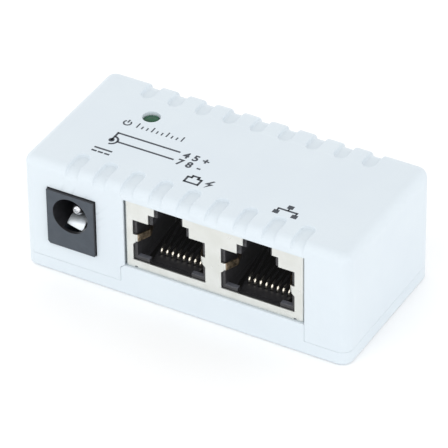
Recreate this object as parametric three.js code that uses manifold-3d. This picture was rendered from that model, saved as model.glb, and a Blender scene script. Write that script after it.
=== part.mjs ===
// A passive power injector for network cables: a small moulded case with a round power socket and
// two shielded 8P8C sockets on its front. Millimetres, +Z up. The sockets face -Y, +X is to the
// right seen from the front, and the origin is the centre of the underside.

import * as THREE from 'three';
import { mergeVertices } from 'three/addons/utils/BufferGeometryUtils.js';
import Module from 'manifold-3d';

const wasm = await Module();
wasm.setup();

// ------------------------------------------------------------------------------ driving dimensions

const CASE = { length: 58.0, depth: 27.8, height: 21.0, wall: 1.7, roof: 1.7, corner: 1.9, edge: 1.7 };
const SEAM = { z: 2.5, gap: 0.1 };
const BASE = { floor: 1.8, edge: 0.5, lipTop: 3.7, lipThickness: 0.9, lipFit: 0.15 };
const GROOVE = { count: 9, pitch: 5.0, width: 2.2, reach: 4.9, depth: 0.55, edge: 2.0 };
const PEG = { radius: 0.95, top: 9.5, shoulderRadius: 1.8, boreRadius: 1.1, bossRadius: 1.9 };
const PEG_PLACES = [[-24.3, 9.4], [24.3, 9.4], [24.2, -9.0], [-13.1, -9.0]];

const BOARD = { bottom: 3.9, thickness: 1.6, length: 53.4, front: 2.0, back: 25.6, holeGap: 0.25 };
const BOARD_TOP = BOARD.bottom + BOARD.thickness;
const PIN_END = BOARD.bottom - 1.0;

// The two sockets share one shield and one housing. Depths are measured back from the case's front.
const PORTS = [{ name: 'powered_port', x: -2.76 }, { name: 'data_port', x: 13.0 }];
const PORTS_CENTRE = (PORTS[0].x + PORTS[1].x) / 2;
const WINDOW = { left: -10.67, right: 21.33, bottom: 5.75, top: 18.47, lip: 0.32, rebate: 0.25 };
const TONGUE = { left: -11.43, right: 21.39, chamfer: 0.65, fit: 0.08 };
const SHIELD = { left: -10.62, right: 21.06, bottom: 5.8, top: 18.9, front: 0.4, back: 18.2, sheet: 0.3 };
const SHIELD_TAB = { width: 1.2, depths: [4.4, 12.4] };
const SHIELD_NOTCH = { places: [-8.7, 19.6], half: 0.25, height: 0.3 };
const CUTOUT = {
  bottom: 7.2, shoulder: 14.88, step: 16.7, top: 18.3,
  halfWidth: 6.48, stepHalf: 3.65, topHalf: 2.55,
  tabBottom: 10.2, tabTop: 12.1, tabReach: 0.5,
};
const CAVITY = {
  bottom: 7.0, shoulder: 14.7, step: 16.35, top: 18.05,
  halfWidth: 5.9, stepHalf: 3.0, topHalf: 2.12,
};
const HOUSING = { front: 0.8, back: 17.9, gap: 0.1, bottom: 5.8, top: 18.5, cavityBack: 12.6 };
const HOUSING_PEG = { radius: 1.5, depths: [6, 14] };
const LEDGE = { top: 7.85, back: 1.7, inner: 3.75 };
const CARRIER = {
  halfWidth: 4.6, front: 1.9, back: 17.2, bottom: 5.7, top: 6.9,
  blockFront: 12.75, blockTop: 12.0, grooveFront: 3.75, fit: 0.1,
};
const WIRE = {
  size: 0.46, pitch: 1.016, count: 8, groove: 0.66, floorZ: 6.64, corner: 0.5, rows: [13.9, 16.2],
};
const BEND = { depth: 4.75, z: 7.22, radius: 0.6, rise: 22, armLength: 6.2, tip: 0.5 };
const FINGER = {
  root: 5.68, peak: 4.75, peakDepth: 2.9, tail: 5.6, tailDepth: 5.2, bottom: 10.8, top: 12.1, sheet: 0.25,
};

const JACK = {
  x: -20.1, axisZ: 12.3, boreRadius: 3.15, boreBack: 9.5, proud: 0.55,
  noseHalf: 4.3, noseBottom: 5.85, noseTop: 16.22, noseChamfer: 0.4,
  bodyHalf: 4.5, bodyBottom: 5.6, bodyTop: 16.6, bodyFront: 1.85, bodyBack: 13.9, windowFit: 0.12,
  slotFront: 0.1, slotBottom: 6.9, slotFit: 0.2, rearHalf: 3.2, rearFront: 10.9, rearTop: 15.2,
};
const JACK_PIN = { radius: 1.05, tip: 1.1, back: 11.2, blade: 0.4, bladeHalf: 1.3, holeRadius: 1.15 };
const LEAF = {
  halfWidth: 1.55, thickness: 0.3, hingeDepth: 8.6, hingeZ: 8.75,
  crownDepth: 2.7, crownZ: 10.35, crownRadius: 2.0,
};
const SLEEVE = { depth: 8.95, half: 1.1, sheet: 0.4, top: 9.1, fit: 0.2 };
const SWITCH = { x: -16.45, near: 6.3, far: 8.3, sheet: 0.4, top: 13.0, fit: 0.15 };

const LED = {
  x: -16.2, y: 4.75, radius: 1.4, flangeRadius: 1.6, flangeTop: 15.6,
  bottom: 14.8, shoulder: 20.3, top: 20.6,
};
const LED_HOLE_RADIUS = 1.5;
const LED_LEAD = { size: 0.5, pitch: 2.54 };
const RESISTOR = { x: -10.5, y: 9.6, length: 3.2, width: 1.6, height: 0.6 };

// ---------------------------------------------------------------------------------------- materials

const material = (colour, roughness, metalness) =>
  new THREE.MeshStandardMaterial({ color: new THREE.Color(colour), roughness, metalness });

const WHITE_ABS = material('#e9f0f5', 0.42, 0);
const BLACK_NYLON = material('#17171a', 0.5, 0);
const JACK_PLASTIC = material('#4c4f55', 0.5, 0);
const TINNED_STEEL = material('#dcdad4', 0.35, 0.9);
const GOLD = material('#d8b46a', 0.22, 1);
const NICKEL = material('#d5d7da', 0.15, 1);
const LAMINATE = material('#2d6b3d', 0.55, 0);
const GREEN_EPOXY = material('#2f7a4e', 0.2, 0);
const RESISTOR_BODY = material('#1d1e22', 0.4, 0);

// ----------------------------------------------------------------------------------- solid geometry

const X_AXIS = new THREE.Vector3(1, 0, 0);
const Y_AXIS = new THREE.Vector3(0, 1, 0);
const Z_AXIS = new THREE.Vector3(0, 0, 1);
const radians = THREE.MathUtils.degToRad;

/** The y of a plane a given depth behind the case's front face. */
const behind = (depth) => -CASE.depth / 2 + depth;

/** A closed geometry as a manifold solid, with its shared vertices merged. */
function solidOf(geometry) {
  geometry.deleteAttribute('normal');
  geometry.deleteAttribute('uv');
  const merged = mergeVertices(geometry, 1e-4);
  const index = merged.index.array;
  const triangles = [];
  for (let i = 0; i < index.length; i += 3) {
    const [a, b, c] = index.slice(i, i + 3);
    if (a !== b && b !== c && c !== a) {
      triangles.push(a, b, c);
    }
  }
  const mesh = new wasm.Mesh({
    numProp: 3,
    vertProperties: new Float32Array(merged.attributes.position.array),
    triVerts: new Uint32Array(triangles),
  });
  return new wasm.Manifold(mesh);
}

/** A manifold solid back as a three.js geometry. */
function geometryOf(solid) {
  const mesh = solid.getMesh();
  const geometry = new THREE.BufferGeometry();
  geometry.setAttribute('position', new THREE.BufferAttribute(mesh.vertProperties, 3));
  geometry.setIndex(new THREE.BufferAttribute(mesh.triVerts, 1));
  geometry.computeVertexNormals();
  return geometry;
}

const join = (...solids) => solids.reduce((whole, solid) => whole.add(solid));
const cut = (solid, ...tools) => tools.reduce((rest, tool) => rest.subtract(tool), solid);

function box([x0, x1], [y0, y1], [z0, z1]) {
  const geometry = new THREE.BoxGeometry(x1 - x0, y1 - y0, z1 - z0);
  geometry.translate((x0 + x1) / 2, (y0 + y1) / 2, (z0 + z1) / 2);
  return solidOf(geometry);
}

/** A box given by its centre line in x, its depths behind the front face and its heights. */
const boxBehind = (x, half, [near, far], heights) =>
  box([x - half, x + half], [behind(near), behind(far)], heights);

/** An upright cylinder, or a cone frustum where the two radii differ. */
function post(x, y, [z0, z1], radius, topRadius = radius, sides = 16) {
  const geometry = new THREE.CylinderGeometry(topRadius, radius, z1 - z0, sides);
  geometry.rotateX(Math.PI / 2);
  geometry.translate(x, y, (z0 + z1) / 2);
  return solidOf(geometry);
}

/** A solid of revolution: [radius, height] points turned about the upright line through (x, y). */
function turned(points, x, y, sides = 20) {
  const geometry = new THREE.LatheGeometry(points.map(([r, h]) => new THREE.Vector2(r, h)), sides);
  geometry.rotateX(Math.PI / 2);
  geometry.translate(x, y, 0);
  return solidOf(geometry);
}

function extruded(shape, length, curveSegments = 4) {
  return new THREE.ExtrudeGeometry(shape, { depth: length, bevelEnabled: false, curveSegments });
}

/** A plan outline drawn in x and y, extruded upwards. */
function plan(shape, [z0, z1], curveSegments) {
  const geometry = extruded(shape, z1 - z0, curveSegments);
  geometry.translate(0, 0, z0);
  return solidOf(geometry);
}

/** A front outline drawn in x and z, extruded from one depth to another. */
function frontal(shape, [near, far]) {
  const geometry = extruded(shape, far - near);
  geometry.applyMatrix4(new THREE.Matrix4().makeBasis(X_AXIS, Z_AXIS, Y_AXIS.clone().negate()));
  geometry.translate(0, behind(far), 0);
  return solidOf(geometry);
}

/** A side outline drawn in depth and z, extruded along x about a centre line. */
function sideways(shape, x, half) {
  const geometry = extruded(shape, 2 * half);
  geometry.applyMatrix4(new THREE.Matrix4().makeBasis(Y_AXIS, Z_AXIS, X_AXIS));
  geometry.translate(x - half, behind(0), 0);
  return solidOf(geometry);
}

const outline = (points) => new THREE.Shape(points.map(([u, v]) => new THREE.Vector2(u, v)));

function roundedRectangle(width, depth, radius) {
  const shape = new THREE.Shape();
  const x = width / 2 - radius;
  const y = depth / 2 - radius;
  const corners = [[x, y], [-x, y], [-x, -y], [x, -y]];
  corners.forEach(([cx, cy], quarter) => {
    shape.absarc(cx, cy, radius, (quarter * Math.PI) / 2, ((quarter + 1) * Math.PI) / 2);
  });
  return shape;
}

/** A box with round upright corners and round top and bottom edges. */
function roundedBox(length, depth, [z0, z1], corner, edge) {
  const shape = roundedRectangle(length - 2 * edge, depth - 2 * edge, Math.max(corner - edge, 0.1));
  const geometry = new THREE.ExtrudeGeometry(shape, {
    depth: z1 - z0 - 2 * edge, bevelSize: edge, bevelThickness: edge, bevelSegments: 4, curveSegments: 2,
  });
  geometry.translate(0, 0, z0 + edge);
  return solidOf(geometry);
}

/** Points of an arc from one angle to another, in degrees. */
function arcPoints([u, v], radius, from, to, steps) {
  return Array.from({ length: steps + 1 }, (_, i) => {
    const angle = radians(from + ((to - from) * i) / steps);
    return [u + radius * Math.cos(angle), v + radius * Math.sin(angle)];
  });
}

/** The closed outline of a strip of even thickness along an open path of points. */
function stripOutline(path, thickness) {
  const sides = path.map((point, i) => {
    const before = path[Math.max(i - 1, 0)];
    const after = path[Math.min(i + 1, path.length - 1)];
    const along = new THREE.Vector2(after[0] - before[0], after[1] - before[1]).normalize();
    const reach = thickness / 2;
    const left = [point[0] - along.y * reach, point[1] + along.x * reach];
    const right = [point[0] + along.y * reach, point[1] - along.x * reach];
    return { left, right };
  });
  const back = sides.map((side) => side.right).reverse();
  return outline([...sides.map((side) => side.left), ...back]);
}

// --------------------------------------------------------------------------------------------- case

/** The shallow grooves across the roof's long edges, following the round of the edge. */
function roofGrooves() {
  const halfWidth = GROOVE.width / 2;
  const outer = CASE.depth / 2 + 1;
  const arcCentre = CASE.depth / 2 - GROOVE.reach + halfWidth;
  const slots = [];
  for (let i = 0; i < GROOVE.count; i += 1) {
    const x = (i - (GROOVE.count - 1) / 2) * GROOVE.pitch;
    for (const side of [-1, 1]) {
      const start = side > 0 ? 180 : 0;
      const arc = arcPoints([x, side * arcCentre], halfWidth, start, start + 180, 8);
      const ends = [[x + side * halfWidth, side * outer], [x - side * halfWidth, side * outer]];
      const shape = outline([...arc, ...ends]);
      slots.push(plan(shape, [CASE.height - 4, CASE.height + 1]));
    }
  }
  const floor = roundedBox(
    CASE.length + 2, CASE.depth + 0.06, [0, CASE.height - GROOVE.depth], CASE.corner + 0.5, GROOVE.edge,
  );
  return cut(join(...slots), floor);
}

/** The cover's front opening for the socket block, open at the bottom where the base's tongue fits. */
function windowShape() {
  const { left, right, chamfer } = TONGUE;
  return outline([
    [left, SEAM.z - 1], [right, SEAM.z - 1], [right, WINDOW.bottom], [WINDOW.right, WINDOW.bottom],
    [WINDOW.right, WINDOW.top], [WINDOW.left, WINDOW.top], [WINDOW.left, WINDOW.bottom + 0.15],
    [left, WINDOW.bottom + 0.15 - chamfer],
  ]);
}

/** Behind a thin lip the opening widens, so that the shield's edges sit out of sight. */
function windowRebate(ceiling) {
  const sides = [WINDOW.left - WINDOW.rebate, WINDOW.right + WINDOW.rebate];
  return box(sides, [behind(WINDOW.lip), behind(CASE.wall + 0.2)], [WINDOW.bottom, ceiling]);
}

function topCover() {
  const bottom = SEAM.z + SEAM.gap;
  const innerLength = CASE.length - 2 * CASE.wall;
  const innerDepth = CASE.depth - 2 * CASE.wall;
  const ceiling = CASE.height - CASE.roof;
  const skin = cut(
    roundedBox(CASE.length, CASE.depth, [-4, CASE.height], CASE.corner, CASE.edge),
    box([-CASE.length, CASE.length], [-CASE.depth, CASE.depth], [-5, bottom]),
    plan(roundedRectangle(innerLength, innerDepth, 0.6), [0, ceiling], 1),
    roofGrooves(),
    post(LED.x, LED.y, [ceiling - 1, CASE.height + 1], LED_HOLE_RADIUS),
    frontal(windowShape(), [-1, CASE.wall + 0.2]),
    windowRebate(ceiling),
    boxBehind(JACK.x, JACK.noseHalf + JACK.windowFit, [-1, CASE.wall + 0.2],
      [JACK.noseBottom - JACK.windowFit, JACK.noseTop + JACK.windowFit]),
  );
  const boss = [BOARD_TOP + 0.1, ceiling + 0.5];
  const bore = [BOARD_TOP - 1, ceiling - 0.5];
  const bosses = PEG_PLACES.map(([x, y]) => post(x, y, boss, PEG.bossRadius));
  const bores = PEG_PLACES.map(([x, y]) => post(x, y, bore, PEG.boreRadius, PEG.boreRadius, 10));
  return cut(join(skin, ...bosses), ...bores);
}

/** The base's upright tongue, which closes the bottom of the cover's socket opening. */
function baseTongue() {
  const left = TONGUE.left + TONGUE.fit;
  const right = TONGUE.right - TONGUE.fit;
  const chamfer = TONGUE.chamfer;
  const shape = outline([
    [left, BASE.floor], [right, BASE.floor], [right, WINDOW.bottom - 0.02],
    [left + chamfer, WINDOW.bottom - 0.02], [left, WINDOW.bottom - 0.02 - chamfer],
  ]);
  return frontal(shape, [0, CASE.wall - 0.1]);
}

function basePlate() {
  const lipLength = CASE.length - 2 * (CASE.wall + BASE.lipFit);
  const lipDepth = CASE.depth - 2 * (CASE.wall + BASE.lipFit);
  const tray = cut(
    roundedBox(CASE.length, CASE.depth, [0, 8], CASE.corner, BASE.edge),
    box([-CASE.length, CASE.length], [-CASE.depth, CASE.depth], [SEAM.z, 9]),
  );
  const lip = plan(roundedRectangle(lipLength, lipDepth, 0.5), [BASE.floor, BASE.lipTop], 1);
  const tongue = baseTongue();
  const bridge = box(
    [TONGUE.left + 1, TONGUE.right - 1], [behind(1), behind(CASE.wall + 0.5)], [BASE.floor, SEAM.z + 1],
  );
  const inset = 2 * BASE.lipThickness;
  const well = plan(roundedRectangle(lipLength - inset, lipDepth - inset, 0.3), [BASE.floor, 9], 1);
  const pegs = PEG_PLACES.map(([x, y]) => join(
    post(x, y, [BASE.floor - 0.5, BOARD.bottom - 0.1], PEG.shoulderRadius),
    post(x, y, [BASE.floor, PEG.top - 0.6], PEG.radius, PEG.radius, 10),
    post(x, y, [PEG.top - 0.6, PEG.top], PEG.radius, PEG.radius * 0.6, 10),
  ));
  return join(cut(join(tray, lip, bridge), well), tongue, ...pegs);
}

// -------------------------------------------------------------------------------------------- board

/** Every hole through the board: the case pegs, the socket block's pegs and tabs, and the leads. */
function boardHoles() {
  const through = [BOARD.bottom - 1, BOARD_TOP + 1];
  const gap = BOARD.holeGap;
  const slot = (x, half, near, far) => boxBehind(x, half + gap, [near - gap, far + gap], through);
  const round = (x, y, radius, sides) => post(x, y, through, radius + gap, radius + gap, sides);
  const wires = PORTS.flatMap((port) => wireNumbers().map((number) =>
    round(wireX(port, number), behind(pinDepth(number)), WIRE.size / 2, 8)));
  return [
    ...PEG_PLACES.map(([x, y]) => round(x, y, PEG.radius, 12)),
    ...housingPegPlaces().map(([x, y]) => round(x, y, HOUSING_PEG.radius)),
    ...shieldTabPlaces().map(([x, near]) => slot(x, SHIELD.sheet / 2, near, near + SHIELD_TAB.width)),
    ...wires,
    ...[-1, 1].map((side) => round(LED.x + (side * LED_LEAD.pitch) / 2, LED.y, LED_LEAD.size / 2, 8)),
    slot(JACK.x, JACK_PIN.bladeHalf, JACK_PIN.back, JACK_PIN.back + JACK_PIN.blade),
    slot(JACK.x, SLEEVE.half, SLEEVE.depth, SLEEVE.depth + SLEEVE.sheet),
    slot(SWITCH.x + SWITCH.sheet / 2, SWITCH.sheet / 2, SWITCH.near, SWITCH.far),
  ];
}

function circuitBoard() {
  const half = BOARD.length / 2;
  const slab = box([-half, half], [behind(BOARD.front), behind(BOARD.back)], [BOARD.bottom, BOARD_TOP]);
  return cut(slab, ...boardHoles());
}

// ------------------------------------------------------------------------------------- socket block

const wireNumbers = () => Array.from({ length: WIRE.count }, (_, i) => i + 1);
const wireX = (port, number) => port.x + (number - (WIRE.count + 1) / 2) * WIRE.pitch;
const pinDepth = (number) => WIRE.rows[number % 2];
const housingPegPlaces = () => HOUSING_PEG.depths.map((depth) => [PORTS_CENTRE, behind(depth)]);
const shieldTabPlaces = () => [SHIELD.left + SHIELD.sheet / 2, SHIELD.right - SHIELD.sheet / 2]
  .flatMap((x) => SHIELD_TAB.depths.map((depth) => [x, depth]));

/** A stepped socket profile, seen from the front: wide for the plug, narrow above for its latch. */
function steppedProfile(x, { bottom, shoulder, step, top, halfWidth, stepHalf, topHalf }, side = () => []) {
  const right = [
    [halfWidth, bottom], ...side(halfWidth), [halfWidth, shoulder], [stepHalf, shoulder],
    [stepHalf, step], [topHalf, step], [topHalf, top],
  ];
  const left = right.map(([u, v]) => [-u, v]).reverse();
  return outline([...right, ...left].map(([u, v]) => [x + u, v]));
}

/** The shield's cut-out keeps a small tab at each side, where a grounding finger is bent inwards. */
function cutoutTab(halfWidth) {
  const inner = halfWidth - CUTOUT.tabReach;
  return [
    [halfWidth, CUTOUT.tabBottom], [inner, CUTOUT.tabBottom + CUTOUT.tabReach],
    [inner, CUTOUT.tabTop], [halfWidth, CUTOUT.tabTop],
  ];
}

/** A grounding finger: it runs back and inwards from its tab, then turns outwards again. */
function groundingFinger(x, side) {
  const { root, peak, peakDepth, tail, tailDepth, bottom, top, sheet } = FINGER;
  const path = [
    [root + 0.4, SHIELD.front + SHIELD.sheet / 2], [root, SHIELD.front + SHIELD.sheet],
    [peak, peakDepth], [peak + 0.1, peakDepth + 0.6], [tail, tailDepth],
  ];
  const placed = path.map(([u, depth]) => [x + side * u, behind(depth)]);
  return plan(stripOutline(side > 0 ? placed : placed.reverse(), sheet), [bottom, top]);
}

function portShieldFront() {
  const { bottom, top, front, back, sheet } = SHIELD;
  const tabs = shieldTabPlaces().map(([x, near]) =>
    boxBehind(x, sheet / 2, [near, near + SHIELD_TAB.width], [PIN_END, bottom + 1]));
  const notches = SHIELD_NOTCH.places.map((x) =>
    boxBehind(x, SHIELD_NOTCH.half, [front - 1, front + 1], [bottom - 1, bottom + SHIELD_NOTCH.height]));
  const inner = [SHIELD.left + sheet, SHIELD.right - sheet];
  const shell = cut(
    box([SHIELD.left, SHIELD.right], [behind(front), behind(back)], [bottom, top]),
    box(inner, [behind(front + sheet), behind(back + 1)], [bottom - 1, top - sheet]),
    ...PORTS.map((port) => frontal(steppedProfile(port.x, CUTOUT, cutoutTab), [front - 1, front + 1])),
    ...notches,
  );
  const fingers = PORTS.flatMap((port) => [-1, 1].map((side) => groundingFinger(port.x, side)));
  return join(shell, ...tabs, ...fingers);
}

function portShieldRear() {
  const { bottom, top, back, sheet } = SHIELD;
  const near = back + 0.1;
  const plate = box([SHIELD.left, SHIELD.right], [behind(near), behind(near + sheet)], [bottom, top]);
  const slots = PORTS.map((port) => boxBehind(port.x, 1.5, [near - 1, near + 1], [13.6, 14.6]));
  return cut(plate, ...slots);
}

function portHousing() {
  const { front, back, gap, bottom, top, cavityBack } = HOUSING;
  const sides = [SHIELD.left + SHIELD.sheet + gap, SHIELD.right - SHIELD.sheet - gap];
  const block = box(sides, [behind(front), behind(back)], [bottom, top]);
  const pocketHalf = CARRIER.halfWidth + CARRIER.fit;
  const cavities = PORTS.flatMap(({ x }) => [
    frontal(steppedProfile(x, CAVITY), [front - 1, cavityBack]),
    boxBehind(x, LEDGE.inner, [front - 1, CARRIER.front], [CARRIER.top, CAVITY.bottom + 1]),
    boxBehind(x, pocketHalf, [CARRIER.front - CARRIER.fit, back + 1], [bottom - 1, CAVITY.bottom + 0.5]),
    boxBehind(x, pocketHalf, [cavityBack - 0.5, back + 1], [CAVITY.bottom, CARRIER.blockTop + CARRIER.fit]),
  ]);
  const ledges = PORTS.flatMap(({ x }) => [-1, 1].map((side) => {
    const centre = x + (side * (LEDGE.inner + CAVITY.halfWidth + 0.2)) / 2;
    const half = (CAVITY.halfWidth + 0.2 - LEDGE.inner) / 2;
    return boxBehind(centre, half, [front, LEDGE.back], [bottom + 0.5, LEDGE.top]);
  }));
  const pegs = housingPegPlaces().map(([x, y]) =>
    post(x, y, [BOARD.bottom + 0.2, bottom + 1], HOUSING_PEG.radius));
  return join(cut(block, ...cavities), ...ledges, ...pegs);
}

/** The insert that carries one socket's wires: a grooved floor with an upright block behind it. */
function contactCarrier(port) {
  const { halfWidth, front, back, bottom, top, blockFront, blockTop, grooveFront } = CARRIER;
  const half = WIRE.groove / 2;
  const grooves = wireNumbers().flatMap((number) => {
    const x = wireX(port, number);
    const depth = pinDepth(number);
    return [
      boxBehind(x, half, [grooveFront, depth + half], [WIRE.floorZ - half, top + 0.01]),
      boxBehind(x, half, [depth - half, depth + half], [bottom - 1, top]),
    ];
  });
  const floor = boxBehind(port.x, halfWidth, [front, back], [bottom, top]);
  const block = boxBehind(port.x, halfWidth, [blockFront, back], [top - 0.02, blockTop]);
  return join(cut(floor, ...grooves), block);
}

/** A wire's fixed half: up through the board and forward along the carrier to the front bend. */
function boardPin(port, number) {
  const depth = pinDepth(number);
  const { corner, floorZ } = WIRE;
  const turn = arcPoints([depth - corner, floorZ - corner], corner, 0, 90, 3);
  const path = [[depth, PIN_END], ...turn, [BEND.depth + 0.05, floorZ]];
  return sideways(stripOutline(path, WIRE.size), wireX(port, number), WIRE.size / 2);
}

/** A wire's sprung half: round the front bend, then rising to the back, with a turned-down tip. */
function springArm(port, number) {
  const bend = arcPoints([BEND.depth, BEND.z], BEND.radius, -102, BEND.rise - 270, 6);
  const [startDepth, startZ] = bend.at(-1);
  const rise = radians(BEND.rise);
  const length = BEND.armLength;
  const end = [startDepth + length * Math.cos(rise), startZ + length * Math.sin(rise)];
  const tip = [end[0] + BEND.tip, end[1] - 0.02];
  return sideways(stripOutline([...bend, end, tip], WIRE.size), wireX(port, number), WIRE.size / 2);
}

// --------------------------------------------------------------------------------------- power jack

/** The socket's moulding: a square nose, a larger body behind it, and rooms for the metal parts. */
function powerJackBody() {
  const { x, axisZ, noseHalf, noseBottom, noseTop, noseChamfer, bodyHalf, bodyFront, bodyBack } = JACK;
  const under = JACK.bodyBottom - 1;
  const nose = frontal(outline([
    [x - noseHalf + noseChamfer, noseBottom], [x + noseHalf, noseBottom], [x + noseHalf, noseTop],
    [x - noseHalf, noseTop], [x - noseHalf, noseBottom + noseChamfer],
  ]), [-JACK.proud, bodyFront + 0.5]);
  const body = boxBehind(x, bodyHalf, [bodyFront, bodyBack], [JACK.bodyBottom, JACK.bodyTop]);
  const round = (radius, near, far, sides) => {
    const geometry = new THREE.CylinderGeometry(radius, radius, far - near, sides);
    geometry.translate(x, behind((near + far) / 2), axisZ);
    return solidOf(geometry);
  };
  const leafSlot = boxBehind(
    x, LEAF.halfWidth + JACK.slotFit, [JACK.slotFront, SLEEVE.depth], [JACK.slotBottom, axisZ - 2],
  );
  const sleeveSlot = boxBehind(
    x, SLEEVE.half + SLEEVE.fit,
    [SLEEVE.depth - SLEEVE.fit, SLEEVE.depth + SLEEVE.sheet + SLEEVE.fit], [under, SLEEVE.top + 0.3],
  );
  const switchSlot = box(
    [SWITCH.x - SWITCH.fit, SWITCH.x + SWITCH.sheet + SWITCH.fit],
    [behind(SWITCH.near - SWITCH.fit), behind(SWITCH.far + SWITCH.fit)], [under, SWITCH.top + 0.5],
  );
  return cut(
    join(nose, body),
    round(JACK.boreRadius, -2, JACK.boreBack, 32),
    round(JACK_PIN.holeRadius, 5, bodyBack + 1, 16),
    boxBehind(x, JACK.rearHalf, [JACK.rearFront, bodyBack + 1], [under, JACK.rearTop]),
    leafSlot, sleeveSlot, switchSlot,
  );
}

/** The centre pin with a domed tip, riveted to the blade that goes down through the board. */
function powerJackPin() {
  const { radius, tip, back, blade, bladeHalf } = JACK_PIN;
  const dome = arcPoints([0, tip + radius], radius, -80, -10, 4);
  const profile = [[0, tip], ...dome, [radius, back + 0.2], [0, back + 0.2]];
  const geometry = new THREE.LatheGeometry(profile.map(([r, depth]) => new THREE.Vector2(r, depth)), 16);
  geometry.translate(JACK.x, behind(0), JACK.axisZ);
  const sheet = boxBehind(JACK.x, bladeHalf, [back, back + blade], [PIN_END, JACK.axisZ + bladeHalf]);
  return join(solidOf(geometry), sheet);
}

/** The sprung leaf under the bore: a rounded crown that touches the plug, and a long tail. */
function powerJackLeaf() {
  const { crownDepth, crownZ, crownRadius, hingeDepth, hingeZ, thickness, halfWidth } = LEAF;
  const crown = arcPoints([crownDepth, crownZ - crownRadius], crownRadius, 175, 78, 7);
  return sideways(stripOutline([...crown, [hingeDepth, hingeZ]], thickness), JACK.x, halfWidth);
}

const sleeveTerminal = () =>
  boxBehind(JACK.x, SLEEVE.half, [SLEEVE.depth, SLEEVE.depth + SLEEVE.sheet], [PIN_END, SLEEVE.top]);

function switchTerminal() {
  const { x, sheet, near, far, top } = SWITCH;
  return box([x, x + sheet], [behind(near), behind(far)], [PIN_END, top]);
}

// --------------------------------------------------------------------------------------- status LED

function ledLens() {
  const rise = (LED.top - LED.shoulder) / LED.radius;
  const crown = arcPoints([0, 0], LED.radius, 0, 75, 4).map(([r, h]) => [r, LED.shoulder + h * rise]);
  return turned([
    [0, LED.bottom], [LED.flangeRadius, LED.bottom], [LED.flangeRadius, LED.flangeTop],
    [LED.radius, LED.flangeTop], ...crown, [0, LED.top],
  ], LED.x, LED.y);
}

function ledLead(side) {
  const x = LED.x + (side * LED_LEAD.pitch) / 2;
  const half = LED_LEAD.size / 2;
  return box([x - half, x + half], [LED.y - half, LED.y + half], [PIN_END, LED.bottom - 0.05]);
}

function resistor() {
  const { x, y, length, width, height } = RESISTOR;
  const bottom = BOARD_TOP + 0.05;
  return box([x - length / 2, x + length / 2], [y - width / 2, y + width / 2], [bottom, bottom + height]);
}

// ----------------------------------------------------------------------------------------- assembly

const injector = new THREE.Group();

function addPart(name, solid, finish) {
  const mesh = new THREE.Mesh(geometryOf(solid), finish.clone());
  mesh.name = name;
  injector.add(mesh);
}

addPart('top_cover', topCover(), WHITE_ABS);
addPart('base_plate', basePlate(), WHITE_ABS);
addPart('circuit_board', circuitBoard(), LAMINATE);

addPart('port_shield_front', portShieldFront(), TINNED_STEEL);
addPart('port_shield_rear', portShieldRear(), TINNED_STEEL);
addPart('port_housing', portHousing(), BLACK_NYLON);
for (const port of PORTS) {
  addPart(`${port.name}_contact_carrier`, contactCarrier(port), BLACK_NYLON);
  for (const number of wireNumbers()) {
    addPart(`${port.name}_board_pin_${number}`, boardPin(port, number), GOLD);
    addPart(`${port.name}_spring_arm_${number}`, springArm(port, number), GOLD);
  }
}

addPart('power_jack_body', powerJackBody(), JACK_PLASTIC);
addPart('power_jack_centre_pin', powerJackPin(), NICKEL);
addPart('power_jack_leaf_spring', powerJackLeaf(), NICKEL);
addPart('power_jack_sleeve_terminal', sleeveTerminal(), NICKEL);
addPart('power_jack_switch_terminal', switchTerminal(), NICKEL);

addPart('status_led_lens', ledLens(), GREEN_EPOXY);
addPart('status_led_anode_lead', ledLead(-1), NICKEL);
addPart('status_led_cathode_lead', ledLead(1), NICKEL);
addPart('status_led_resistor', resistor(), RESISTOR_BODY);

export default injector;
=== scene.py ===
"""Looks of a small passive PoE injector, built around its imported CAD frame."""

from math import copysign, cos, hypot, pi, radians, sin, sqrt, tan

import bmesh
import bpy
from mathutils import Matrix, Vector
from mathutils.geometry import delaunay_2d_cdt


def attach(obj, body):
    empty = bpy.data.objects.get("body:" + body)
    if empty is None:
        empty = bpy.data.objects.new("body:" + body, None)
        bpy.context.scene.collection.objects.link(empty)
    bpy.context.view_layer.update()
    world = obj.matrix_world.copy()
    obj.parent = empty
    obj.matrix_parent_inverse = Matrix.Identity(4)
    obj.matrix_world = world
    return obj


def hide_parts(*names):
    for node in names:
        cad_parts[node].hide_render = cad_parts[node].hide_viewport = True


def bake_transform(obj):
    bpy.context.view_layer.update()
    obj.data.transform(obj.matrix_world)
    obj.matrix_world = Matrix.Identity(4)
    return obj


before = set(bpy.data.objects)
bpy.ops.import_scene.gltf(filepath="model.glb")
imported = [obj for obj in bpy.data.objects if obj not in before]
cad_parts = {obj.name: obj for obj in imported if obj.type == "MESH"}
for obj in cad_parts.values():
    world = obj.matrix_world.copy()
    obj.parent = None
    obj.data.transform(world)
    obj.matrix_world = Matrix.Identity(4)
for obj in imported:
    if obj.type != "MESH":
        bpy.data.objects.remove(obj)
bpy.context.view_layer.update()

# ---- driving dimensions, in millimetres

MM = 0.001
PAINTED_CAVITY_GLOW = 0.005  # painted glow: emission that lifts a deep black cavity from black to a dark grey

CASE_LENGTH, CASE_DEPTH, CASE_HEIGHT = 58.0, 27.8, 21.0
CORNER_RADIUS = 1.9  # the case's upright corners
EDGE_RADIUS = 1.7  # round its roof
WALL = 1.7
SEAM_Z, SEAM_GAP = 2.5, 0.03
BASE_FLOOR, BASE_EDGE, LIP_TOP, LIP_THICKNESS, LIP_FIT = 1.8, 0.5, 3.7, 0.9, 0.15
ROOM_CORNER, LIP_CORNER, WELL_CORNER = 0.6, 0.5, 0.3  # radii inside the case
PEG_RADIUS, PEG_TOP, PEG_SHOULDER_RADIUS, PEG_BORE_RADIUS, BOSS_RADIUS = 0.95, 9.5, 1.8, 1.1, 1.9
PEG_PLACES = [(-24.3, 9.4), (24.3, 9.4), (24.2, -9.0), (-13.1, -9.0)]
BOARD_BOTTOM, BOARD_TOP = 3.9, 5.5

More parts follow.
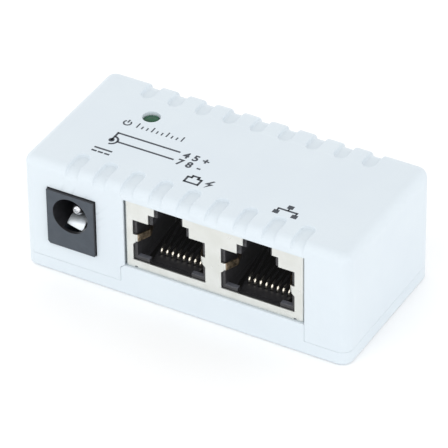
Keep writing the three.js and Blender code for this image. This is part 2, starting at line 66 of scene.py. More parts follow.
GROOVE_COUNT, GROOVE_PITCH = 9, 5.0
GROOVE_HALF, GROOVE_REACH, GROOVE_DEPTH = 1.1, 4.9, 0.55
GROOVE_FLOOR_RADIUS = 2.0  # of the floor where it turns down over the roof's edge
GROOVE_FLOOR_PROUD = 0.03  # how far in front of the case's face the floor would end
# Distances outside a groove's outline, and the share of its depth reached there.
GROOVE_WALL = [
    (0.27, 0.0), (0.17, 0.04), (0.09, 0.14), (0.03, 0.33),
    (-0.03, 0.67), (-0.09, 0.86), (-0.17, 0.96), (-0.27, 1.0),
]

PORTS = {"powered_port": -2.76, "data_port": 13.0}
WINDOW_LEFT, WINDOW_RIGHT, WINDOW_BOTTOM, WINDOW_TOP = -10.67, 21.33, 5.75, 18.47
WINDOW_LIP, WINDOW_REBATE, WINDOW_STEP = 0.32, 0.25, 0.08
TONGUE_LEFT, TONGUE_RIGHT, TONGUE_CHAMFER, TONGUE_FIT, TONGUE_GAP = -11.43, 21.39, 0.65, 0.04, 0.02

SHIELD_LEFT, SHIELD_RIGHT, SHIELD_BOTTOM, SHIELD_TOP = -10.62, 21.06, 5.8, 18.9
SHIELD_FRONT, SHIELD_BACK, SHIELD_SHEET, SHIELD_BEND = 0.4, 18.2, 0.3, 0.36
SHIELD_TAB_DEPTHS, SHIELD_TAB_WIDTH, PIN_END = (4.4, 12.4), 1.2, 2.9
SHIELD_NOTCHES, NOTCH_HALF, NOTCH_HEIGHT = (-8.7, 19.6), 0.25, 0.3
CUT_HALF, CUT_STEP_HALF, CUT_TOP_HALF = 6.48, 3.65, 2.55
CUT_BOTTOM, CUT_SHOULDER, CUT_STEP, CUT_TOP = 7.2, 14.88, 16.7, 18.3
TAB_BOTTOM, TAB_TOP, TAB_REACH = 10.2, 12.1, 0.5
FINGER_ROOT, FINGER_PEAK, FINGER_PEAK_DEPTH = 5.68, 4.75, 2.9
FINGER_TAIL, FINGER_TAIL_DEPTH, FINGER_BOTTOM, FINGER_TOP, FINGER_SHEET = 5.6, 5.2, 10.8, 12.1, 0.25

HOUSING_FRONT, HOUSING_BACK, HOUSING_GAP, HOUSING_BOTTOM, HOUSING_TOP = 0.8, 17.9, 0.1, 5.8, 18.5
CAVITY_HALF, CAVITY_STEP_HALF, CAVITY_TOP_HALF, CAVITY_BACK = 5.9, 3.0, 2.12, 12.6
CAVITY_BOTTOM, CAVITY_SHOULDER, CAVITY_STEP, CAVITY_TOP = 7.0, 14.7, 16.35, 18.05
LEDGE_TOP, LEDGE_BACK, LEDGE_INNER = 7.85, 1.7, 3.75
CARRIER_HALF, CARRIER_FRONT, CARRIER_TOP, CARRIER_BLOCK_TOP, CARRIER_FIT = 4.6, 1.9, 6.9, 12.0, 0.1
HOUSING_PEG_RADIUS, HOUSING_PEG_DEPTHS = 1.5, (6.0, 14.0)

WIRE_COUNT, WIRE_PITCH, WIRE_RADIUS = 8, 1.016, 0.23
WIRE_FLOOR_Z, WIRE_CORNER, WIRE_ROWS, WIRE_END = 6.64, 0.5, (13.9, 16.2), (0.55, 0.02)
BEND_DEPTH, BEND_Z, BEND_RADIUS, ARM_RISE, ARM_LENGTH = 4.75, 7.22, 0.6, 22.0, 6.2

JACK_X, JACK_Z, BORE_RADIUS, BORE_BACK = -20.1, 12.3, 3.15, 9.5
NOSE_PROUD, NOSE_HALF, NOSE_BOTTOM, NOSE_TOP, NOSE_CHAMFER = 0.55, 4.3, 5.85, 16.22, 0.4
JACK_BODY_HALF, JACK_BODY_BOTTOM, JACK_BODY_TOP = 4.5, 5.6, 16.6
JACK_BODY_FRONT, JACK_BODY_BACK, JACK_FIT = 1.85, 13.9, 0.12
JACK_SLOT_FRONT, JACK_SLOT_BOTTOM, JACK_SLOT_FIT = 0.1, 6.9, 0.2
JACK_REAR_HALF, JACK_REAR_FRONT, JACK_REAR_TOP = 3.2, 10.9, 15.2
PIN_RADIUS, PIN_TIP, PIN_BACK, PIN_BLADE, PIN_BLADE_HALF, PIN_HOLE_RADIUS = 1.05, 1.1, 11.2, 0.4, 1.3, 1.15
PIN_HOLLOW = [(0, 0.55), (0.22, 0.5), (0.3, 0.12)]  # radii, and depths behind its tip
LEAF_HALF, LEAF_SHEET, LEAF_HINGE, LEAF_CROWN, LEAF_CROWN_RADIUS = 1.55, 0.3, (8.6, 8.75), (2.7, 10.35), 2.0
LEAF_LANES, LEAF_BOW = 12, 0.08  # its strips side by side, and how far its sides droop
LEAF_NOSE, LEAF_SLANT = 153, 8  # degrees round the crown where the leaf is cut off, and how unevenly
SLEEVE_DEPTH, SLEEVE_HALF, SLEEVE_SHEET, SLEEVE_TOP, SLEEVE_FIT = 8.95, 1.1, 0.4, 9.1, 0.2
SWITCH_X, SWITCH_NEAR, SWITCH_FAR, SWITCH_SHEET, SWITCH_TOP, SWITCH_FIT = -16.45, 6.3, 8.3, 0.4, 13.0, 0.15

LED_X, LED_Y, LED_RADIUS, LED_HOLE_RADIUS = -16.2, 4.75, 1.4, 1.5
LED_SHOULDER, LED_TOP = 20.3, 20.6
LED_BOTTOM, LED_FLANGE_RADIUS, LED_FLANGE_TOP = 14.8, 1.6, 15.6


def behind(depth):
    """The y of a plane a given depth behind the case's front face."""
    return -CASE_DEPTH / 2 + depth


# ---- mesh helpers


def add_object(name, data):
    obj = bpy.data.objects.new(name, data)
    bpy.context.scene.collection.objects.link(obj)
    return obj


def mesh_object(name, vertices, faces):
    """A new object from vertices in millimetres."""
    mesh = bpy.data.meshes.new(name)
    mesh.from_pydata([Vector(v) * MM for v in vertices], [], faces)
    return add_object(name, mesh)


def object_from(name, bm):
    """A new object from a bmesh in millimetres."""
    bmesh.ops.scale(bm, vec=(MM, MM, MM), verts=bm.verts)
    bmesh.ops.recalc_face_normals(bm, faces=bm.faces)
    mesh = bpy.data.meshes.new(name)
    bm.to_mesh(mesh)
    bm.free()
    return add_object(name, mesh)


def prism(name, loops, place, start, end):
    """Closed outlines extruded from start to end, and set in space by place(u, v, w)."""
    bm = bmesh.new()
    edges = []
    for loop in loops:
        ring = [bm.verts.new(place(u, v, start)) for u, v in loop]
        edges += [bm.edges.new((ring[i - 1], ring[i])) for i in range(len(ring))]
    bmesh.ops.triangle_fill(bm, use_beauty=True, edges=edges)
    bmesh.ops.dissolve_limit(bm, angle_limit=radians(0.1), verts=bm.verts, edges=bm.edges)
    made = bmesh.ops.extrude_face_region(bm, geom=bm.faces[:])["geom"]
    shift = Vector(place(0, 0, end)) - Vector(place(0, 0, start))
    moved = [g for g in made if isinstance(g, bmesh.types.BMVert)]
    bmesh.ops.translate(bm, vec=shift, verts=moved)
    return object_from(name, bm)


def frontal(u, v, w):
    """Outlines drawn in x and z, extruded backwards by depth."""
    return (u, behind(w), v)


def upright(u, v, w):
    """Outlines drawn in x and y, extruded upwards."""
    return (u, v, w)


def rectangle(left, right, bottom, top):
    return [(left, bottom), (right, bottom), (right, top), (left, top)]


def centred(x, half, bottom, top):
    """A rectangle with its middle at x."""
    return rectangle(x - half, x + half, bottom, top)


def circle(x, y, radius, count):
    steps = [2 * pi * i / count for i in range(count)]
    return [(x + radius * cos(a), y + radius * sin(a)) for a in steps]


def arc(x, y, radius, start, end, count):
    """Points along an arc, both ends included, with its angles in degrees."""
    steps = [radians(start + (end - start) * i / count) for i in range(count + 1)]
    return [(x + radius * cos(a), y + radius * sin(a)) for a in steps]


def case_plan(inset, radius, count=4):
    """The case's outline in plan, moved inwards, with corners of a radius."""
    points = []
    for turn, (sx, sy) in enumerate([(1, 1), (-1, 1), (-1, -1), (1, -1)]):
        centre = (sx * (CASE_LENGTH / 2 - inset - radius), sy * (CASE_DEPTH / 2 - inset - radius))
        points += arc(*centre, radius, 90 * turn, 90 * turn + 90, count)
    return points


def in_row(number, count, pitch):
    """The place of one of a row of things that is centred on zero, counted from 0."""
    return (number - (count - 1) / 2) * pitch


def heading(path, i):
    """The unit direction of a path at one of its points."""
    before, after = path[max(i - 1, 0)], path[min(i + 1, len(path) - 1)]
    return Vector([b - a for a, b in zip(before, after)]).normalized()


def skinned(name, rings):
    """A solid through rings of as many points each, with closed ends."""
    count = len(rings[0])
    vertices = [point for ring in rings for point in ring]
    faces = [
        (i + k, i + (k + 1) % count, i + (k + 1) % count + count, i + k + count)
        for i in range(0, len(vertices) - count, count) for k in range(count)
    ]
    faces.append(tuple(range(count - 1, -1, -1)))
    faces.append(tuple(range(len(vertices) - count, len(vertices))))
    return mesh_object(name, vertices, faces)


def lathed(name, profile, centre, place, sides=48):
    """A solid turned about a centre, from (radius, w) points that place(u, v, w) sets."""
    bm = bmesh.new()
    rings = []
    for radius, w in profile:
        points = circle(*centre, radius, sides) if radius else [centre]
        rings.append([bm.verts.new(place(u, v, w)) for u, v in points])
    for near, far in zip(rings, rings[1:]):
        for i in range(sides):
            corners = ((near, i - 1), (near, i), (far, i), (far, i - 1))
            bm.faces.new(tuple(dict.fromkeys(ring[k % len(ring)] for ring, k in corners)))
    return object_from(name, bm)


def evaluated(obj):
    """The object's shape with its modifiers applied, as a new mesh."""
    graph = bpy.context.evaluated_depsgraph_get()
    return bpy.data.meshes.new_from_object(obj.evaluated_get(graph))


def combine(obj, operation, *tools):
    """Cuts or joins the tools, which are used up."""
    for tool in tools:
        modifier = obj.modifiers.new("combine", "BOOLEAN")
        modifier.operation = operation
        modifier.solver = "EXACT"
        modifier.object = tool
        mesh = evaluated(obj)
        obj.modifiers.clear()
        obj.data = mesh
        bpy.data.objects.remove(tool)


def round_edges(obj, width, angle):
    bevel = obj.modifiers.new("edges", "BEVEL")
    bevel.width = width * MM
    bevel.segments = 2
    bevel.limit_method = "ANGLE"
    bevel.angle_limit = radians(angle)
    return bevel


def smooth(obj):
    obj.data.polygons.foreach_set("use_smooth", [True] * len(obj.data.polygons))


def soften(obj, width, angle):
    """Rounds the object's sharp edges, with shading weighted to its large faces."""
    smooth(obj)
    round_edges(obj, width, angle).use_clamp_overlap = False
    obj.modifiers.new("shading", "WEIGHTED_NORMAL").weight = 100


# ---- materials


def set_inputs(node, values):
    for name, value in values.items():
        node.inputs[name].default_value = value


class Finish:
    """A procedural material: a Principled shader and the textures that drive it.

    A grain is a noise's size in millimetres, its detail, and its stretch where it has one.
    """

    def __init__(self, name, colour, roughness, metallic=0.0):
        self.material = bpy.data.materials.new(name)
        self.material.use_nodes = True
        self.nodes = self.material.node_tree.nodes
        self.links = self.material.node_tree.links
        self.shader = self.nodes["Principled BSDF"]
        values = {"Base Color": (*colour, 1), "Roughness": roughness, "Metallic": metallic}
        set_inputs(self.shader, values)
        self.colour = colour
        self.roughness = roughness
        self.place = self.nodes.new("ShaderNodeTexCoord").outputs["Object"]

    def noise(self, size, detail, stretch=(1, 1, 1)):
        mapping = self.nodes.new("ShaderNodeMapping")
        set_inputs(mapping, {"Scale": [1 / (size * MM * s) for s in stretch]})
        noise = self.nodes.new("ShaderNodeTexNoise")
        set_inputs(noise, {"Scale": 1.0, "Detail": detail})
        self.links.new(self.place, mapping.inputs["Vector"])
        self.links.new(mapping.outputs["Vector"], noise.inputs["Vector"])
        return noise.outputs["Fac"]

    def spread(self, socket, low, high, start=0.25, end=0.75):
        """Spreads a socket's values between start and end, a noise's middle half, over low to high."""
        node = self.nodes.new("ShaderNodeMapRange")
        set_inputs(node, {"From Min": start, "From Max": end, "To Min": low, "To Max": high})
        self.links.new(socket, node.inputs["Value"])
        return node.outputs["Result"]

    def mix_colour(self, other, share):
        mix = self.nodes.new("ShaderNodeMix")
        mix.data_type = "RGBA"
        set_inputs(mix, {"A": (*self.colour, 1), "B": (*other, 1)})
        self.links.new(share, mix.inputs["Factor"])
        self.links.new(mix.outputs["Result"], self.shader.inputs["Base Color"])

    def vary_colour(self, other, *grain):
        self.mix_colour(other, self.spread(self.noise(*grain), 0, 1))

    def fade_colour(self, other, start, end):
        """The finish's colour in front of one y, fading to the other colour at the second y."""
        split = self.nodes.new("ShaderNodeSeparateXYZ")
        self.links.new(self.place, split.inputs["Vector"])
        self.mix_colour(other, self.spread(split.outputs["Y"], 0, 1, start * MM, end * MM))

    def vary_roughness(self, reach, *grain):
        low, high = self.roughness - reach, self.roughness + reach
        self.links.new(self.spread(self.noise(*grain), low, high), self.shader.inputs["Roughness"])

    def bump(self, height, strength, *grain):
        """Bumps some millimetres high, on top of any that are there."""
        node = self.nodes.new("ShaderNodeBump")
        set_inputs(node, {"Strength": strength, "Distance": height * MM})
        self.links.new(self.noise(*grain), node.inputs["Height"])
        normal = self.shader.inputs["Normal"]
        if normal.is_linked:
            self.links.new(normal.links[0].from_socket, node.inputs["Normal"])
        self.links.new(node.outputs["Normal"], normal)

    def glow(self, strength):
        """A little light of the finish's own."""
        set_inputs(self.shader, {"Emission Color": (1, 1, 1, 1), "Emission Strength": strength})

    def put_on(self, obj):
        obj.data.materials.clear()
        obj.data.materials.append(self.material)

    def put_on_faces(self, obj, chosen):
        """Adds the finish on the faces whose centres, in millimetres, are chosen."""
        obj.data.materials.append(self.material)
        for face in obj.data.polygons:
            if chosen(face.center / MM):
                face.material_index = 1


def srgb(red, green, blue):
    """A colour given in 0 to 255 display values, as linear light."""
    def linear(value):
        share = value / 255
        return share / 12.92 if share <= 0.04045 else ((share + 0.055) / 1.055) ** 2.4
    return (linear(red), linear(green), linear(blue))


def case_plastic():
    """White ABS with the fine matt grain of a spark-eroded mould."""
    finish = Finish("white_abs", srgb(213, 222, 228), 0.42)
    set_inputs(finish.shader, {"Specular IOR Level": 0.4})
    finish.vary_colour(srgb(210, 219, 226), 9.0, 3.0)
    finish.vary_roughness(0.06, 2.5, 5.0)
    finish.bump(0.006, 0.5, 0.16, 2.0)
    finish.bump(0.02, 0.3, 6.0, 1.0)
    return finish


def shield_metal():
    """Tinned sheet with the fine lengthwise lines of rolling."""
    finish = Finish("tinned_sheet", srgb(228, 230, 227), 0.34, 0.85)
    finish.vary_colour(srgb(218, 220, 215), 3.0, 5.0)
    finish.vary_roughness(0.08, 1.2, 4.0)
    finish.bump(0.004, 0.6, 0.12, 3.0, (14, 1, 1))
    finish.bump(0.02, 0.4, 3.0, 2.0)
    return finish


def socket_plastic():
    """Black glass-filled nylon, with a faint speckle of fibre ends, and a faint painted glow that lifts its
    black.
    """
    finish = Finish("black_nylon", srgb(34, 34, 37), 0.4)
    set_inputs(finish.shader, {"Specular IOR Level": 0.6})
    # painted glow: the nylon emits a little light, though it is no lamp
    finish.glow(PAINTED_CAVITY_GLOW)
    finish.vary_colour(srgb(48, 48, 52), 0.35, 0.6)
    finish.vary_roughness(0.1, 1.0, 4.0)
    finish.bump(0.008, 0.6, 0.12, 2.0)
    return finish


def ledge_painted_sheen_nylon():
    """The same nylon painted lighter grey on the ledge tops: a painted sheen for the bright sky those
    up-facing tops reflect.
    """
    finish = Finish("ledge_painted_sheen_nylon", srgb(88, 90, 97), 0.35)
    finish.vary_colour(srgb(108, 110, 118), 0.4, 2.0)
    finish.vary_roughness(0.08, 0.6, 4.0)
    finish.bump(0.006, 0.5, 0.3, 2.0, (4, 1, 1))
    return finish


def contact_gold():
    """Gold at the front bends, painted darker to near black on the way back: painted shade on the arms that
    rise into the dark cavity.
    """
    finish = Finish("contact_gold", srgb(246, 240, 226), 0.17, 1.0)
    # painted glow: the contacts emit a little light, though they are no lamp
    finish.glow(PAINTED_CAVITY_GLOW)
    # painted shade: the colour fades to near black behind the bends
    finish.fade_colour(srgb(24, 21, 18), behind(4.7), behind(5.3))
    finish.vary_roughness(0.07, 0.5, 4.0)
    finish.bump(0.002, 0.4, 0.05, 2.0, (1, 8, 1))
    return finish


def jack_plastic():
    """Dark grey moulding compound with a matt, slightly pitted skin."""
    finish = Finish("jack_plastic", srgb(56, 64, 73), 0.5)
    finish.vary_colour(srgb(64, 72, 81), 1.4, 5.0)
    finish.vary_roughness(0.08, 0.9, 4.0)
    finish.bump(0.01, 0.6, 0.14, 3.0)
    return finish


def plated_metal():
    finish = Finish("bright_nickel", srgb(226, 228, 230), 0.14, 1.0)
    finish.vary_colour(srgb(206, 208, 212), 1.5, 3.0)
    finish.vary_roughness(0.06, 0.6, 4.0)
    finish.bump(0.002, 0.4, 0.08, 2.0, (1, 6, 1))
    return finish


def leaf_metal():
    """The leaf's satin plating, rubbed along its length."""
    finish = Finish("satin_nickel", srgb(244, 250, 254), 0.38, 0.6)
    finish.vary_colour(srgb(234, 242, 248), 0.7, 3.0)
    finish.vary_roughness(0.06, 0.5, 4.0)
    finish.bump(0.003, 0.5, 0.06, 3.0, (1, 10, 1))
    return finish


def finger_metal():
    """Bronze-tinted metal, darkened in large blotches as a painted reflection of the dark cavity the finger
    faces.
    """
    finish = Finish("finger_bronze_painted_reflection", srgb(186, 168, 142), 0.36, 0.9)
    finish.vary_colour(srgb(66, 54, 44), 0.6, 3.0)
    finish.vary_roughness(0.1, 0.4, 3.0)
    finish.bump(0.06, 0.8, 0.8, 2.0, (1, 2, 1))
    return finish


def bore_painted_shade_plastic():
    """The jack's moulding in its bore and on its nose's sides, painted darker as shade, and smoother than
    its face.
    """
    finish = Finish("bore_painted_shade_plastic", srgb(30, 30, 33), 0.38)
    finish.vary_colour(srgb(40, 40, 44), 0.8, 3.0)
    finish.vary_roughness(0.06, 0.6, 3.0)
    finish.bump(0.004, 0.4, 0.2, 2.0)
    return finish


def led_epoxy():
    """Tinted epoxy that scatters light inside."""
    finish = Finish("green_epoxy", srgb(22, 88, 56), 0.2)
    set_inputs(finish.shader, {
        "Subsurface Weight": 0.3, "Subsurface Radius": (0.3, 1.0, 0.5),
        "Subsurface Scale": 0.5 * MM, "Specular IOR Level": 0.3,
    })
    finish.vary_colour(srgb(18, 64, 42), 1.0, 3.0)
    finish.vary_roughness(0.06, 0.6, 3.0)
    finish.bump(0.004, 0.4, 0.3, 2.0)
    return finish


def board_laminate():
    """Green solder mask over a faint woven glass cloth."""
    finish = Finish("board_laminate", srgb(30, 92, 52), 0.4)
    finish.vary_colour(srgb(38, 108, 62), 0.5, 2.0, (4, 1, 1))
    finish.vary_roughness(0.08, 1.5, 4.0)
    finish.bump(0.01, 0.5, 0.4, 1.0, (1, 4, 1))
    return finish


def resistor_body():
    finish = Finish("resistor_body", srgb(28, 28, 32), 0.35)
    finish.vary_colour(srgb(44, 44, 50), 0.5, 3.0)
    finish.vary_roughness(0.08, 0.4, 3.0)
    finish.bump(0.01, 0.5, 0.1, 2.0)
    return finish


def print_ink():
    """Slate-coloured pad-printing ink, a little uneven."""
    finish = Finish("legend_ink", srgb(40, 46, 55), 0.5)
    finish.vary_colour(srgb(58, 66, 76), 0.3, 4.0)
    finish.vary_roughness(0.08, 0.3, 3.0)
    finish.bump(0.004, 0.5, 0.08, 2.0)
    return finish


FINISHES = {make.__name__: make() for make in (
    case_plastic, shield_metal, socket_plastic, contact_gold, jack_plastic, plated_metal, led_epoxy,
    board_laminate, resistor_body, print_ink, ledge_painted_sheen_nylon, bore_painted_shade_plastic, finger_metal, leaf_metal,
)}


def finish_piece(piece, slot, body, node, finish=None):
    """Gives a new piece its finish, and sets it on its body in place of a CAD node."""
    FINISHES[finish or slot].put_on(piece)
    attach(piece, body)
    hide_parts(node)


# ---- the moulded case


def edge_rows():
    """Distances from a sharp edge that become even steps round the edge's arc."""
    steps = 6
    angles = [radians(45 * i / steps) for i in range(steps)]
    return [EDGE_RADIUS * (1 - tan(angle)) for angle in angles]


def round_plan(x, y):
    """A point of the sharp plan moved onto the plan with round corners, and its outward normal."""
    dx = abs(x) - (CASE_LENGTH / 2 - CORNER_RADIUS)
    dy = abs(y) - (CASE_DEPTH / 2 - CORNER_RADIUS)
    if dx > 0 and dy > 0:
        outward = Vector((copysign(dx, x), copysign(dy, y))).normalized()
        centre = Vector((x - copysign(dx, x), y - copysign(dy, y)))
        return centre + outward * max(dx, dy), outward
    if CASE_LENGTH / 2 - abs(x) < CASE_DEPTH / 2 - abs(y):
        return Vector((x, y)), Vector((copysign(1, x), 0))
    return Vector((x, y)), Vector((0, copysign(1, y)))


def round_edge(inset, drop):
    """A point near a sharp roof edge, given by how far it lies inwards and down, moved onto the
    edge's arc. Returns its new inset and drop, and the sine and cosine of its normal's lean."""
    if inset >= EDGE_RADIUS or drop >= EDGE_RADIUS:
        lean = (0, 1) if drop == 0 else (1, 0)
        return inset, drop, lean
    reach = Vector((EDGE_RADIUS - inset, EDGE_RADIUS - drop))
    sine, cosine = reach.normalized()
    return EDGE_RADIUS * (1 - sine), EDGE_RADIUS * (1 - cosine), (sine, cosine)


def groove_depth(inset, drop, lean):
    """How deep the grooves' floor lies under a point of the case's outside, along its normal."""
    radius = GROOVE_FLOOR_RADIUS
    centre = (radius - GROOVE_FLOOR_PROUD, GROOVE_DEPTH + radius)
    start = Vector((centre[0] - inset, centre[1] - drop))
    if start.x <= 0:
        return GROOVE_DEPTH
    along = start.dot(lean)
    root = along * along - start.length_squared + radius * radius
    if root < 0 or start.y <= 0:
        return 0.0
    return max(0.0, along - sqrt(root))


def groove_share(x, y):
    """What share of the grooves' depth is reached at a point of the sharp plan."""
    number = round(x / GROOVE_PITCH + (GROOVE_COUNT - 1) / 2)
    number = min(max(number, 0), GROOVE_COUNT - 1)
    dx = abs(x - in_row(number, GROOVE_COUNT, GROOVE_PITCH))
    dy = CASE_DEPTH / 2 - abs(y) - (GROOVE_REACH - GROOVE_HALF)
    distance = (hypot(dx, dy) if dy > 0 else dx) - GROOVE_HALF
    for (far, low), (near, high) in zip(GROOVE_WALL, GROOVE_WALL[1:]):
        if distance >= far:
            return low
        if distance > near:
            return low + (high - low) * (far - distance) / (far - near)
    return 1.0


def case_point(x, y, z):
    """A point of the sharp box moved onto the moulded case."""
    plan, outward = round_plan(x, y)
    inset = min(CASE_LENGTH / 2 - abs(x), CASE_DEPTH / 2 - abs(y))
    drop = CASE_HEIGHT - z
    new_inset, new_drop, lean = round_edge(inset, drop)
    depth = 0.0
    if abs(outward.y) == 1 or inset > EDGE_RADIUS:
        depth = groove_share(x, y) * groove_depth(new_inset, new_drop, lean)
    flat = plan - outward * (new_inset - inset + depth * lean[0])
    return (flat.x, flat.y, CASE_HEIGHT - new_drop - depth * lean[1])


def groove_lines(far):
    """The groove walls' lines on the sharp roof, from its long edge round each groove's end."""
    lines = []
    centre_y = CASE_DEPTH / 2 - GROOVE_REACH + GROOVE_HALF
    for number in range(GROOVE_COUNT):
        x = in_row(number, GROOVE_COUNT, GROOVE_PITCH)
        for offset, _ in GROOVE_WALL:
            reach = GROOVE_HALF + offset
            turn = arc(x, -centre_y, reach, 180, 0, 20)
            line = [(x - reach, -far), *turn, (x + reach, -far)]
            lines += [line, [(u, -v) for u, v in line]]
    return lines


def triangulated(boundary, lines, place):
    """Points and triangles of a flat convex face with the lines in it, moved by place."""
    points = list(boundary)
    edges = [((i - 1) % len(boundary), i) for i in range(len(boundary))]
    for line in lines:
        first = len(points)
        points += line
        edges += [(i, i + 1) for i in range(first, len(points) - 1)]
    made = delaunay_2d_cdt([Vector(p) for p in points], edges, [], 0, 1e-5)
    return [place(*p) for p in made[0]], made[2]


def case_skin(bottom):
    """The case's outside down to a height, closed underneath, as one object."""
    half_x, half_y = CASE_LENGTH / 2, CASE_DEPTH / 2
    rows = [*edge_rows(), CORNER_RADIUS]
    across = [s * (half_y - row) for row in rows for s in (-1, 1)]
    along = [s * (half_x - row) for row in rows for s in (-1, 1)]
    grooves = groove_lines(half_y)
    slots = sorted({line[0][0] for line in grooves} | {line[-1][0] for line in grooves})
    faded = CASE_HEIGHT - GROOVE_DEPTH - GROOVE_FLOOR_RADIUS
    levels = [CASE_HEIGHT - row for row in edge_rows() if row > 0]
    levels += [faded + (CASE_HEIGHT - EDGE_RADIUS - faded) * i / 4 for i in range(5)]

    def side(half, columns, more, place):
        lines = [[(-half, z), (half, z)] for z in levels]
        lines += [[(u, bottom), (u, CASE_HEIGHT)] for u in columns]
        return triangulated(centred(0, half, bottom, CASE_HEIGHT), lines + more, place)

    roof = [[(-half_x, y), (half_x, y)] for y in across] + [[(x, -half_y), (x, half_y)] for x in along]
    shapes = [triangulated(
        centred(0, half_x, -half_y, half_y), roof + grooves, lambda x, y: case_point(x, y, CASE_HEIGHT)
    )]
    walls = [[(x, faded), (x, CASE_HEIGHT)] for x in slots]
    for s in (-1, 1):
        shapes.append(side(half_x, along, walls, lambda x, z: case_point(x, s * half_y, z)))
        shapes.append(side(half_y, across, [], lambda y, z: case_point(s * half_x, y, z)))
    bm = bmesh.new()
    for vertices, faces in shapes:
        made = [bm.verts.new(v) for v in vertices]
        for face in faces:
            bm.faces.new([made[i] for i in face])
    bmesh.ops.remove_doubles(bm, verts=bm.verts, dist=0.002)
    rim = [edge for edge in bm.edges if edge.is_boundary]
    bmesh.ops.holes_fill(bm, edges=rim, sides=0)
    return object_from("case_skin", bm)


def window_outline():
    """The cover's front opening for the two sockets, open below for the base's tongue."""
    step = WINDOW_BOTTOM + WINDOW_STEP
    return [
        (TONGUE_LEFT, SEAM_Z - 1), (TONGUE_RIGHT, SEAM_Z - 1), (TONGUE_RIGHT, WINDOW_TOP),
        (WINDOW_LEFT, WINDOW_TOP), (WINDOW_LEFT, step), (TONGUE_LEFT, step - TONGUE_CHAMFER),
    ]


def posts(radius, bottom, top):
    """Upright posts, one at each peg's place."""
    return prism("posts", [circle(*place, radius, 32) for place in PEG_PLACES], upright, bottom, top)


def make_top_cover():
    ceiling = CASE_HEIGHT - WALL
    cover = case_skin(SEAM_Z + SEAM_GAP)
    cover.name = "top_cover_moulding"
    jack_hole = centred(JACK_X, NOSE_HALF + JACK_FIT, NOSE_BOTTOM - JACK_FIT, NOSE_TOP + JACK_FIT)
    rebate = rectangle(
        WINDOW_LEFT - WINDOW_REBATE, WINDOW_RIGHT + WINDOW_REBATE, WINDOW_BOTTOM, ceiling
    )
    led_hole = circle(LED_X, LED_Y, LED_HOLE_RADIUS, 64)
    combine(
        cover, "DIFFERENCE",
        prism("room", [case_plan(WALL, ROOM_CORNER)], upright, 0, ceiling),
        prism("window", [window_outline()], frontal, -1, WALL + 0.2),
        prism("rebate", [rebate], frontal, WINDOW_LIP, WALL + 0.3),
        prism("jack_hole", [jack_hole], frontal, -1, WALL + 0.2),
        prism("led_hole", [led_hole], upright, ceiling - 1, CASE_HEIGHT + 1),
    )
    combine(cover, "UNION", posts(BOSS_RADIUS, BOARD_TOP + 0.1, ceiling + 0.5))
    combine(cover, "DIFFERENCE", posts(PEG_BORE_RADIUS, BOARD_TOP - 1, ceiling - 0.5))
    soften(cover, 0.05, angle=60)
    finish_piece(cover, "case_plastic", "case", "top_cover")


def base_tray():
    """A slab up to the seam, with its lower edge rounded."""
    bm = bmesh.new()
    angles = [radians(90 * i / 5) for i in range(6)]
    rings = [(BASE_EDGE * (1 - sin(a)), BASE_EDGE * (1 - cos(a))) for a in angles]
    loops = [
        [bm.verts.new((x, y, z)) for x, y in case_plan(inset, CORNER_RADIUS - inset, 10)]
        for inset, z in [*rings, (0, SEAM_Z)]
    ]
    for low, high in zip(loops, loops[1:]):
        for i in range(len(low)):
            bm.faces.new((low[i - 1], low[i], high[i], high[i - 1]))
    bm.faces.new(loops[0])
    bm.faces.new(loops[-1])
    return object_from("base_moulding", bm)


def make_base():
    """The lower moulding: a tray with a lip, the tongue under the sockets, and four pegs."""
    base = base_tray()
    lip = case_plan(WALL + LIP_FIT, LIP_CORNER)
    well = case_plan(WALL + LIP_FIT + LIP_THICKNESS, WELL_CORNER)
    bridge = rectangle(TONGUE_LEFT + 1, TONGUE_RIGHT - 1, behind(1), behind(WALL + 0.5))
    left, right = TONGUE_LEFT + TONGUE_FIT, TONGUE_RIGHT - TONGUE_FIT
    top = WINDOW_BOTTOM - TONGUE_GAP
    tongue = [
        (left, BASE_FLOOR), (right, BASE_FLOOR), (right, top),
        (left + TONGUE_CHAMFER, top), (left, top - TONGUE_CHAMFER),
    ]
    combine(
        base, "UNION",
        prism("lip", [lip], upright, BASE_FLOOR, LIP_TOP),
        prism("bridge", [bridge], upright, BASE_FLOOR, SEAM_Z + 1),
    )
    combine(base, "DIFFERENCE", prism("well", [well], upright, BASE_FLOOR, LIP_TOP + 1))
    combine(
        base, "UNION",
        prism("tongue", [tongue], frontal, 0, WALL - 0.1),
        posts(PEG_SHOULDER_RADIUS, BASE_FLOOR - 0.5, BOARD_BOTTOM - 0.1),
        posts(PEG_RADIUS, BASE_FLOOR - 0.2, PEG_TOP),
    )
    soften(base, 0.035, angle=50)
    finish_piece(base, "case_plastic", "case", "base_plate")


# ---- socket block


def stepped(x, half, step_half, top_half, bottom, shoulder, step, top, side=()):
    """A socket's profile: wide for the plug, narrower in two steps for its latch."""
    right = [
        (half, bottom), *side, (half, shoulder), (step_half, shoulder),
        (step_half, step), (top_half, step), (top_half, top),
    ]
    left = [(-u, v) for u, v in reversed(right)]
    return [(x + u, v) for u, v in right + left]


def cutout_outline(x):
    """The shield's cut-out, with a small tab at each side that carries a grounding finger."""
    inner = CUT_HALF - TAB_REACH
    tab = [
        (CUT_HALF, TAB_BOTTOM), (inner, TAB_BOTTOM + TAB_REACH), (inner, TAB_TOP), (CUT_HALF, TAB_TOP)
    ]
    return stepped(
        x, CUT_HALF, CUT_STEP_HALF, CUT_TOP_HALF,
        CUT_BOTTOM, CUT_SHOULDER, CUT_STEP, CUT_TOP, tab,
    )


def strip_outline(path, thickness):
    """The closed outline of a strip of even thickness along an open path."""
    left, right = [], []
    reach = thickness / 2
    for i, (u, v) in enumerate(path):
        along = heading(path, i)
        left.append((u - along.y * reach, v + along.x * reach))
        right.append((u + along.y * reach, v - along.x * reach))
    return left + right[::-1]


